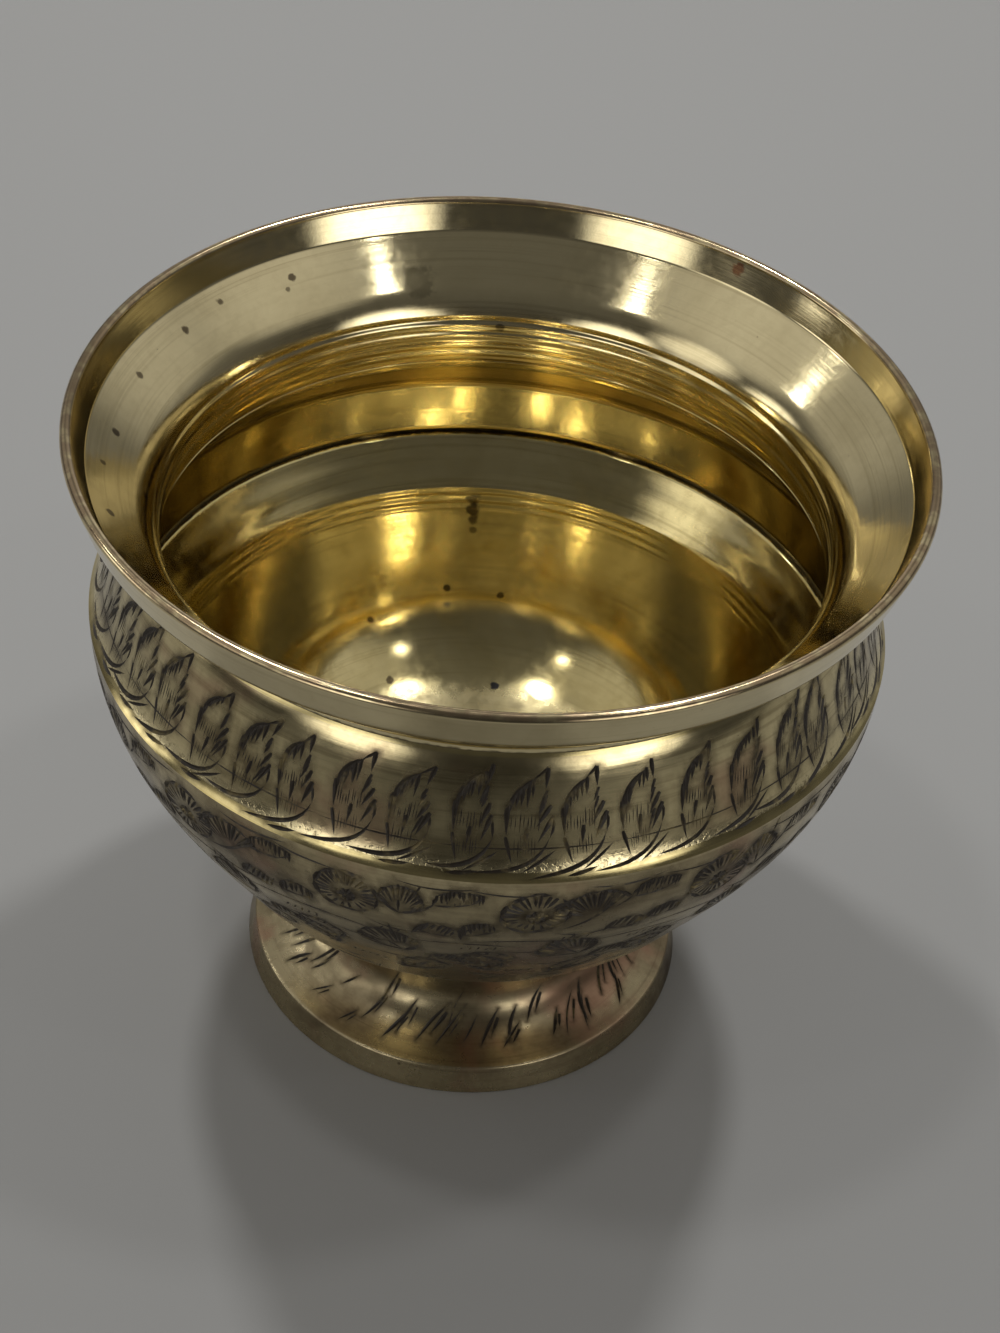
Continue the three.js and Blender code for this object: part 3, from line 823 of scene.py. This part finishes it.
def rays(rng, centre, inner, outer, start, end, count, width):
    """Wedge cuts that spread from a centre, deepest at their outer ends."""
    cuts = []
    for k in range(count):
        a = math.radians(start + (end - start) * (k + 0.5 + wavering(rng, 0.2)) / count)
        way = np.array([math.cos(a), math.sin(a)])
        near = centre + way * (inner * (1 + wavering(rng, 0.14)))
        far = centre + way * (outer * (1 + wavering(rng, 0.05)))
        cuts.append(graver_cut([near, far], width * (1 + wavering(rng, 0.2))))
    return cuts


def daisy(rng):
    """A daisy 10 mm across: petals cut as rays round a dark eye, inside a heavy uneven line."""
    size = 5.0 + wavering(rng, 0.3)
    eye = np.array([0.0, -0.8])
    cuts = rays(rng, eye * 0.6, size * 0.46, size * 0.96, -25, 205, rng.randint(17, 20), 0.7)
    cuts += rays(rng, eye * 0.6, size * 0.42, size * 0.78, 205, 335, rng.randint(6, 9), 0.6)
    cuts += contour(rng, round_the((0, 0), size, 60, 250), 0.75, 5)
    cuts += contour(rng, round_the((0.2, 0), size * 0.98, 250, 400), 0.6, 4)
    cuts += rays(rng, eye, 0.1, 1.5, 0, 360, 9, 0.85)
    cuts += contour(rng, round_the(eye, 1.7, 0, 360), 0.5, 4)
    return cuts


def pentagon_leaf(rng):
    """A broad leaf 8 mm across with an angular edge and combed sides that meet at its stem."""
    s = 1 + wavering(rng, 0.08)
    edge = np.array([(-0.4, -3.9), (-3.7, -0.9), (-3.1, 2.0), (0.2, 3.7), (2.7, 2.4), (3.9, -0.3),
                     (2.9, -2.9), (-0.4, -3.9)]) * s
    cuts = contour(rng, edge, 0.62, 8)
    foot = edge[0]
    for side, count in ((edge[1:4], 6), (edge[3:7], 8)):
        for k in range(count):
            tip = along_path(side, (k + 0.5 + wavering(rng, 0.2)) / count)
            inner = tip + (foot - tip) * rng.uniform(0.42, 0.62)
            cuts.append(graver_cut([inner, tip], 0.62 * (1 + wavering(rng, 0.2))))
    cuts.append(graver_cut([foot, foot + (0.2, 3.6)], 0.5))
    cuts.append(graver_cut([edge[4], edge[4] + (0.6, 1.4)], 0.45))
    return cuts


def combed_leaf(rng):
    """A leaf 9 mm long on its side, its upper edge combed, with a stem to the lower left."""
    top = [(-4.2, -1.3), (-3.3, 0.9), (-0.6, 2.0), (2.2, 1.5), (4.4, 0.6)]
    cuts = comb(rng, top[1:], (-0.15, -1), 2.1, 0.62, rng.randint(9, 12))
    cuts += contour(rng, top, 0.5, 4)
    cuts += contour(rng, [(-4.0, -1.4), (-1.0, -1.7), (2.4, -1.2), (4.4, 0.4)], 0.4, 3)
    cuts.append(sliver([(-6.6, -3.4), (-5.0, -2.3), (-3.6, -0.9)], 0.42))
    cuts += hatching(rng, (-3.0, -1.4), (5.4, 0.2), (0.2, 1.3), 6, 0.18)
    return cuts


def bud(rng):
    """A bud 5 mm long, hatched dark."""
    top = [(-2.3, 0.2), (-1.4, 1.6), (0.8, 1.8), (2.4, 1.0)]
    cuts = comb(rng, top, (-0.25, -1), 2.4, 0.66, rng.randint(6, 8))
    cuts += contour(rng, [(-2.5, 0.2), (-1.5, 1.7), (0.8, 2.0), (2.6, 1.0), (2.2, -0.9)], 0.45, 4)
    cuts += contour(rng, [(-2.4, -0.6), (0.0, -1.2), (2.2, -0.9)], 0.4, 2)
    return cuts


def fan(rng):
    """A flower seen from its side: rays that open upwards from a stem, under a heavy line."""
    foot = np.array([0.3, -3.6])
    cuts = rays(rng, foot, 2.2, 6.4, 32, 150, rng.randint(10, 12), 0.66)
    cuts += contour(rng, round_the(foot, 6.6, 20, 160), 0.6, 5)
    cuts += contour(rng, [(-5.6, -1.0), (-4.6, 1.2), (-2.0, 3.0)], 0.6, 2)
    curl = [(-5.0, -5.4), (-1.6, -4.9), (0.3, -3.8), (3.0, -1.6), (5.2, 1.2)]
    cuts.append(sliver(curl, 0.5))
    return cuts


def drop_leaf(rng):
    """A hanging leaf 9 mm long with two combed sides and a deep drop down its middle."""
    left = [(-2.9, 2.2), (-2.6, -0.6), (-1.3, -3.0), (0.3, -4.6)]
    right = [(-1.2, 4.2), (1.8, 3.4), (2.7, 0.6), (1.9, -2.4), (0.4, -4.6)]
    cuts = comb(rng, left, (0.75, 0.55), 1.7, 0.6, rng.randint(6, 8))
    cuts += comb(rng, right, (-0.7, -0.6), 1.9, 0.6, rng.randint(8, 10))
    cuts += contour(rng, left, 0.55, 3) + contour(rng, right, 0.5, 4)
    cuts += contour(rng, [(-2.9, 2.2), (-2.4, 4.0), (-1.1, 4.3)], 0.5, 2)
    cuts.append(graver_cut([(-0.3, 1.8), (0.4, -2.6)], 1.0))
    return cuts


def small_flower(rng):
    """A flower 7 mm across with short petals round an open middle."""
    cuts = rays(rng, np.zeros(2), 1.9, 3.3, 0, 360, rng.randint(9, 12), 0.62)
    cuts += contour(rng, round_the((0, 0), 3.5, 20, 380), 0.5, 6)
    cuts += contour(rng, round_the((0.2, -0.2), 1.1, 0, 300), 0.3, 3)
    return cuts


def ticks(rng, count):
    """A row of short wedges, as a graver makes beside a stem."""
    return [graver_cut([(1.3 * k + wavering(rng, 0.2), wavering(rng, 0.2)),
                        (1.3 * k + 0.55, 1.15 + wavering(rng, 0.3))], 0.5) for k in range(count)]


def stem(rng, long, bow):
    """A long stem that bows up or down on its way to the right."""
    path = [(0, 0), (0.3 * long, bow), (0.7 * long, 1.1 * bow + wavering(rng, 0.3)),
            (long, 0.2 * bow)]
    return [sliver(path, 0.42 * (1 + wavering(rng, 0.2)))]


KNUCKLE_INSET = 17
KNUCKLE_DROP = 41.7
KNUCKLE_SLOPE = 60
BELLY_DROP_REACH = 16.4
TAPER_REACH = 15.6
TURN_REACH = 4.4
BOWL_WALL = 3.2
BOTTOM_SLOPE = 40
BOTTOM_REACH = 12
BOTTOM_EDGE = 1.2
BEVEL_RUN = 6.6
BEVEL_DROP = 8.5
BASIN_SLOPE = 70
BASIN_REACH = 7.5
BASIN_TURN_REACH = 9
FLOOR_THICKNESS = 3
FLOOR_FLAT_REACH = 30
FOOT_NECK_INSET = 20.8
FOOT_WALL = 2.6
FOOT_LIP = 1.4
knuckle = (ridge_radius - KNUCKLE_INSET, ridge_height - KNUCKLE_DROP)
foot_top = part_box("foot")[1].z / MM
boss_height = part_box("lower_bowl")[0].z / MM
foot_neck = knuckle[0] - FOOT_NECK_INSET
foot_bore = foot_neck - FOOT_WALL
bottom_edge = (foot_neck + FOOT_LIP, foot_top + BOTTOM_EDGE)
ledge = (ridge_radius - LEDGE_INSET, ledge_height)
inner_knuckle = aimed(knuckle, BOWL_WALL, KNUCKLE_SLOPE + 90)
bevel_end = (ledge[0] - BEVEL_RUN, ledge[1] - BEVEL_DROP)
bowl_floor = (0, foot_top + FLOOR_THICKNESS)
belly_skin = without_repeats([
    *sweep(bottom_edge, aimed(bottom_edge, BOTTOM_REACH, BOTTOM_SLOPE),
           aimed(knuckle, -TURN_REACH, KNUCKLE_SLOPE), knuckle, 14),
    *sweep(knuckle, aimed(knuckle, TAPER_REACH, KNUCKLE_SLOPE),
           (ridge_radius, ridge_height - BELLY_DROP_REACH), ridge, 27),
])
basin_side = sweep(bevel_end, aimed(bevel_end, -BASIN_REACH, BASIN_SLOPE),
                   aimed(inner_knuckle, BASIN_REACH, KNUCKLE_SLOPE), inner_knuckle, 14)
belly_outline = [
    *belly_skin,
    *spaced([
        belly_skin[-1],
        (tongue_top + BRAZE_GAP, ridge_height),
        (tongue_end + BRAZE_GAP, ledge_height),
        *rippled([ledge, bevel_end], depth=0.05, pitch=5.3, steps=5)[:-1],
        *rippled(basin_side[:4], depth=0.1, pitch=1.7, steps=4),
        *basin_side[4:],
        *sweep(inner_knuckle, aimed(inner_knuckle, -BASIN_TURN_REACH, KNUCKLE_SLOPE),
               (FLOOR_FLAT_REACH, bowl_floor[1]), bowl_floor, 22)[1:],
        (0, boss_height),
        (foot_bore - BRAZE_GAP, boss_height),
        (foot_bore - BRAZE_GAP, foot_top),
        (bottom_edge[0], foot_top),
        belly_skin[0],
    ], 4.0)[1:],
]
belly_along, _, belly_heights, _ = plane_of(belly_skin)


def up_to(height):
    """How far along the belly's outline a height is."""
    return float(np.interp(height, belly_heights, belly_along))


rng = random.Random(BELLY_SEED)
belly_layout = []
for k in range(BELLY_UNITS):
    start = FIRST_DAISY + 360 / BELLY_UNITS * k + wavering(rng, 0.8)
    second = pentagon_leaf if k % 3 != 1 else fan
    for motif, azimuth, height, lean in (
        (daisy, 0, 75.6, 0), (second, 7.3, 77.2, 8), (combed_leaf, 15.6, 79.0, 6),
        (bud, 12.2, 69.4, -12), (bud, 18.3, 70.6, 14), (drop_leaf, -6.2, 55.5, 14),
        (small_flower, 20.4, 58.4, 0), (bud, 14.2, 57.4, 4), (pentagon_leaf, 5.4, 62.6, 40),
        (drop_leaf, 9.6, 51.0, -30),
    ):
        size = LOW_MOTIF_SIZE if height < LOW_MOTIFS_BELOW else 1.0
        made = turned_by(motif(rng), lean + wavering(rng, 9), size=size + wavering(rng, 0.06))
        made = [(line, CUT_WIDENING * half) for line, half in turned_by(made, 0, 0, up_to(height))]
        belly_layout.append((start + azimuth + wavering(rng, 0.7), made))
    for azimuth, height, made in (
        (-10.0, 81.6, stem(rng, 11, -0.5)), (7.0, 81.8, stem(rng, 13, -0.9)),
        (3.0, 69.4, stem(rng, 10, -1.6)), (-9.0, 66.4, stem(rng, 16, 1.0)),
        (8.0, 64.6, stem(rng, 18, 0.8)), (-4.0, 62.4, stem(rng, 12, -0.8)),
        (-12.0, 59.6, stem(rng, 11, 1.2)), (2.0, 54.8, stem(rng, 9, -1.0)),
        (12.0, 53.4, stem(rng, 10, 0.8)), (4.0, 66.6, ticks(rng, 4)), (15.0, 62.8, ticks(rng, 5)),
        (-3.0, 49.6, ticks(rng, 5)), (-11.0, 69.6, ticks(rng, 3)),
    ):
        made = turned_by(made, wavering(rng, 6))
        place = start + azimuth + wavering(rng, 1.0)
        belly_layout.append((place, turned_by(made, 0, 0, up_to(height))))
    for _ in range(NICKS):
        height = rng.uniform(30, 52)
        nick = sliver([(-1.6, -0.9), (1.7, 1.0)], rng.uniform(0.25, 0.5))
        made = turned_by([nick], wavering(rng, 50))
        place = start + rng.uniform(-10, 15)
        belly_layout.append((place, turned_by(made, 0, 0, up_to(height), rng.uniform(0.7, 1.5))))
belly_brass = brass("belly brass", (0.64, 0.54, 0.32), (0.17, 0.13, 0.07), tarnished=1.0,
                    rough=0.17, copper=0.45, stretched=0.3)
belly = engraved("lower_bowl_engraved", belly_outline, 0, len(belly_skin) - 1, belly_layout,
                 [belly_brass, cut_patina, basin_brass], BELLY_SEAM)
finish_inside(belly)
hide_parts("lower_bowl")

# Foot.
# A low hollow trumpet on a leaning base band, turned from one casting and brazed under the bowl.
# Long loose strokes of the graver run down its flare, all the way round.
FOOT_SEED = 5
FOOT_STROKES = 72
STROKE_LEAN = 62
BASE_BAND_HEIGHT = 5.4
BASE_BAND_LEAN = 1.3
BASE_SHOULDER_ROUND = 0.7
BASE_SHOULDER_SLOPE = 18
BASE_RING_WIDTH = 4.2
BASE_EDGE = 0.25
BASE_EDGE_LEAN = 0.03
FOOT_NECK_LENGTH = 7.4
FLARE_DROP_REACH = 5
FLARE_OUT_REACH = 5.8
base_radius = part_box("foot")[1].x / MM
flare_way = 180 - BASE_SHOULDER_SLOPE
band_top = (base_radius - BASE_BAND_LEAN, BASE_BAND_HEIGHT)
flare_end = aimed(band_top, BASE_SHOULDER_ROUND, flare_way)
neck_end = (foot_neck, foot_top - FOOT_NECK_LENGTH)
lip_start = (foot_neck, foot_top - FOOT_LIP)
hollow_edge = (base_radius - BASE_RING_WIDTH, BASE_BAND_HEIGHT - FOOT_WALL)
foot_skin = without_repeats([
    *sweep(towards(band_top, (base_radius, 0), BASE_SHOULDER_ROUND), band_top, band_top,
           flare_end, 5),
    *sweep(flare_end, aimed(flare_end, FLARE_OUT_REACH, flare_way),
           (foot_neck, neck_end[1] - FLARE_DROP_REACH), neck_end, 26),
    *[(foot_neck, neck_end[1] + (lip_start[1] - neck_end[1]) * k / 6) for k in range(1, 7)],
])
foot_outline = [
    *foot_skin,
    *spaced([
        *sweep(lip_start, (foot_neck, foot_top), (foot_neck, foot_top),
               (foot_neck + FOOT_LIP, foot_top), 8),
        (foot_bore, foot_top),
        *sweep((foot_bore, neck_end[1]), (foot_bore, neck_end[1] - FLARE_DROP_REACH - FOOT_WALL),
               aimed(hollow_edge, FLARE_OUT_REACH, flare_way), hollow_edge, 22),
        (hollow_edge[0], 0),
        (base_radius - BASE_EDGE, 0),
        (base_radius - BASE_EDGE_LEAN, BASE_EDGE),
        foot_skin[0],
    ], 1.5)[1:],
]
rng = random.Random(FOOT_SEED)
foot_layout = []
for k in range(FOOT_STROKES):
    long = rng.uniform(4, 9.5)
    path = [(0, 0), (long * 0.5, rng.uniform(-0.5, 0.7)), (long, 0)]
    made = [sliver(path, rng.uniform(0.3, 0.8))]
    if rng.random() < 0.5:
        made.append(graver_cut([(long * 0.3, -1.0), (long * 0.8, -0.7)], rng.uniform(0.4, 0.9)))
    azimuth = 360 * k / FOOT_STROKES - 180 + wavering(rng, 2.5)
    made = turned_by(made, STROKE_LEAN + wavering(rng, 14), 0, rng.uniform(2.5, 9))
    foot_layout.append((azimuth, made))
foot_brass = brass("foot brass", (0.5, 0.42, 0.25), (0.14, 0.1, 0.06), tarnished=1.0, rough=0.26,
                   copper=0.7, joints=[(foot_neck + FOOT_LIP, foot_top)], stretched=0.3)
foot = engraved("foot_turned", foot_outline, 0, len(foot_skin) - 1, foot_layout,
                [foot_brass, cut_patina])
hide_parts("foot")

# Braze rings.
# The thin fillings of brazing metal in the three joints, a little paler than the brass.
# The metal was run in hot, between the spigot, the tongue or the boss and what holds it.
braze_metal = brass("brazing metal", (0.8, 0.71, 0.5), (0.4, 0.34, 0.22), tarnished=0.5, rough=0.4,
                    lathe=0.2)
for node, low, high in (
    ("neck_braze", (neck_bore - BRAZE_GAP, spigot_height), (neck_bore - BRAZE_GAP, neck_height)),
    ("belly_braze", (tongue_end, ledge_height), (tongue_top, ridge_height)),
    ("foot_braze", (foot_bore - BRAZE_GAP, boss_height), (foot_bore - BRAZE_GAP, foot_top)),
):
    outer_low, outer_high = ((radius + BRAZE_GAP, height) for radius, height in (low, high))
    section = spaced([low, outer_low, outer_high, high, low], 2.0)
    places, directions, faces, _ = turned(section, section_normals(section))
    ring = as_piece(node + "_metal", places, directions, faces, [], [braze_metal])
    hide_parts(node)

# Floor.
# A plain pale table top under the bowl.
# Its colour is painted darker on the viewer's side, beyond the edge of the view: painted shade.
FLOOR_REACH = 2.5
FLOOR_DROP = 0.00002
TABLE_GREY = (0.335, 0.333, 0.324)
# Painted shade on the viewer's side: its dark grey, where it is full, and where it begins.
TABLE_PAINTED_SHADE = (0.05, 0.05, 0.05)
FULL_PAINTED_SHADE_BEYOND = -0.5
PAINTED_SHADE_FROM = -0.16
floor_corners = ((-1, -1), (1, -1), (1, 1), (-1, 1))
floor_mesh = bpy.data.meshes.new("floor")
floor_mesh.from_pydata([(x * FLOOR_REACH, y * FLOOR_REACH, -FLOOR_DROP) for x, y in floor_corners],
                       [], [(0, 1, 2, 3)])
floor = bpy.data.objects.new("floor", floor_mesh)
bpy.context.scene.collection.objects.link(floor)
floor_paint = bpy.data.materials.new("pale table top with painted shade")
nodes = bare_nodes(floor_paint)
place = linked(nodes, "ShaderNodeTexCoord", {}).outputs["Object"]
depth = linked(nodes, "ShaderNodeSeparateXYZ", {0: place}).outputs[1]
# Painted shade: the table's colour fades from pale grey to dark grey towards the viewer's side.
shade = mixed(nodes, faded(nodes, depth, FULL_PAINTED_SHADE_BEYOND, PAINTED_SHADE_FROM), TABLE_PAINTED_SHADE, TABLE_GREY)
shader = linked(nodes, "ShaderNodeBsdfPrincipled", {"Base Color": shade, "Roughness": 0.6})
linked(nodes, "ShaderNodeOutputMaterial", {"Surface": shader.outputs[0]})
floor_mesh.materials.append(floor_paint)

# Camera.
# It stands in front of the bowl and looks down into it, a little rolled, as a hand-held camera is.
CAMERA_PLACE = (0.0028, -0.30065, 0.33269)
FOCAL_LENGTH = 62.1
LOOKS_DOWN = math.radians(41.47)
ROLL = math.radians(5.24)
camera = bpy.data.objects.new("camera", bpy.data.cameras.new("camera"))
bpy.context.scene.collection.objects.link(camera)
camera.location = CAMERA_PLACE
camera.data.lens = FOCAL_LENGTH
camera.data.sensor_width = 36
camera.data.clip_start = 0.01
ahead = Vector((0, math.cos(LOOKS_DOWN), -math.sin(LOOKS_DOWN)))
above = Vector((0, math.sin(LOOKS_DOWN), math.cos(LOOKS_DOWN)))
level = Vector((1, 0, 0))
right = level * math.cos(ROLL) + above * math.sin(ROLL)
upright = above * math.cos(ROLL) - level * math.sin(ROLL)
camera.rotation_mode = "QUATERNION"
turn = np.array([right, upright, -ahead]).T
camera.rotation_quaternion = Matrix(turn.tolist()).to_quaternion()
bpy.context.scene.camera = camera

# Light.
# A dim grey room, with small lamps over the bowl and broad soft windows round it.
# The windows show in the metal, and are kept out of the camera's own view.
LAMP_DISTANCE = 1.6
AIM_HEIGHT = 0.08
LAMPS = (
    # name, azimuth, elevation, width, watts
    ("front lamp right", 54, 56, 0.09, 0.35),
    ("front lamp left", -49, 56.5, 0.09, 0.35),
    ("side lamp left", -108, 34.5, 0.1, 0.4),
    ("middle lamp right", 98.6, 72, 0.14, 2.0),
    ("middle lamp left", -76, 75, 0.14, 2.0),
    ("back lamp right", 151.5, 62.7, 0.14, 6.0),
    ("back lamp left", -143, 61.6, 0.14, 6.0),
)
WINDOWS = (
    # azimuth, elevation, reach in degrees, strength
    (-92, 5, 15, 1.9), (-62, 22, 18, 1.0), (-32, 9, 18, 2.0), (40, 9, 20, 2.6), (-85, 48, 30, 0.4),
    (85, 48, 26, 0.35), (130, 33, 28, 0.26), (-130, 33, 28, 0.2), (180, 12, 26, 0.5),
)
DAYLIGHT = (1, 0.98, 0.95, 1)


def way_to(azimuth, elevation):
    """The direction from the bowl to a light; azimuth 0 is the viewer's side."""
    a, e = math.radians(azimuth), math.radians(elevation)
    return Vector((math.sin(a) * math.cos(e), -math.cos(a) * math.cos(e), math.sin(e)))


for name, azimuth, elevation, width, watts in LAMPS:
    light = bpy.data.lights.new(name, "AREA")
    light.shape = "ELLIPSE"
    light.size = light.size_y = width
    light.energy = watts
    lamp = bpy.data.objects.new(name, light)
    bpy.context.scene.collection.objects.link(lamp)
    way = way_to(azimuth, elevation)
    lamp.location = Vector((0, 0, AIM_HEIGHT)) + way * LAMP_DISTANCE
    lamp.rotation_mode = "QUATERNION"
    lamp.rotation_quaternion = way.to_track_quat("Z", "Y")
world = bpy.data.worlds.new("room")
bpy.context.scene.world = world
nodes = bare_nodes(world)
direction = linked(nodes, "ShaderNodeTexCoord", {}).outputs["Generated"]
axes = linked(nodes, "ShaderNodeSeparateXYZ", {0: direction}).outputs
shade = plus(nodes, faded(nodes, axes[1], -0.7, 0.8, 0.0, 0.1),
             faded(nodes, axes[2], 0.0, 0.9, 0.04, 0.1))
seen = linked(nodes, "ShaderNodeLightPath", {}).outputs["Is Camera Ray"]
hidden = minus(nodes, 1.0, seen)
for azimuth, elevation, reach, strength in WINDOWS:
    near = linked(nodes, "ShaderNodeVectorMath", {0: direction, 1: way_to(azimuth, elevation)},
                  operation="DOT_PRODUCT").outputs["Value"]
    window = faded(nodes, near, math.cos(math.radians(reach)), 1.0, 0.0, strength)
    shade = plus(nodes, shade, times(nodes, window, hidden))
sky = linked(nodes, "ShaderNodeBackground", {"Color": DAYLIGHT, "Strength": shade})
linked(nodes, "ShaderNodeOutputWorld", {"Surface": sky.outputs[0]})
bpy.context.scene.view_settings.view_transform = "Standard"
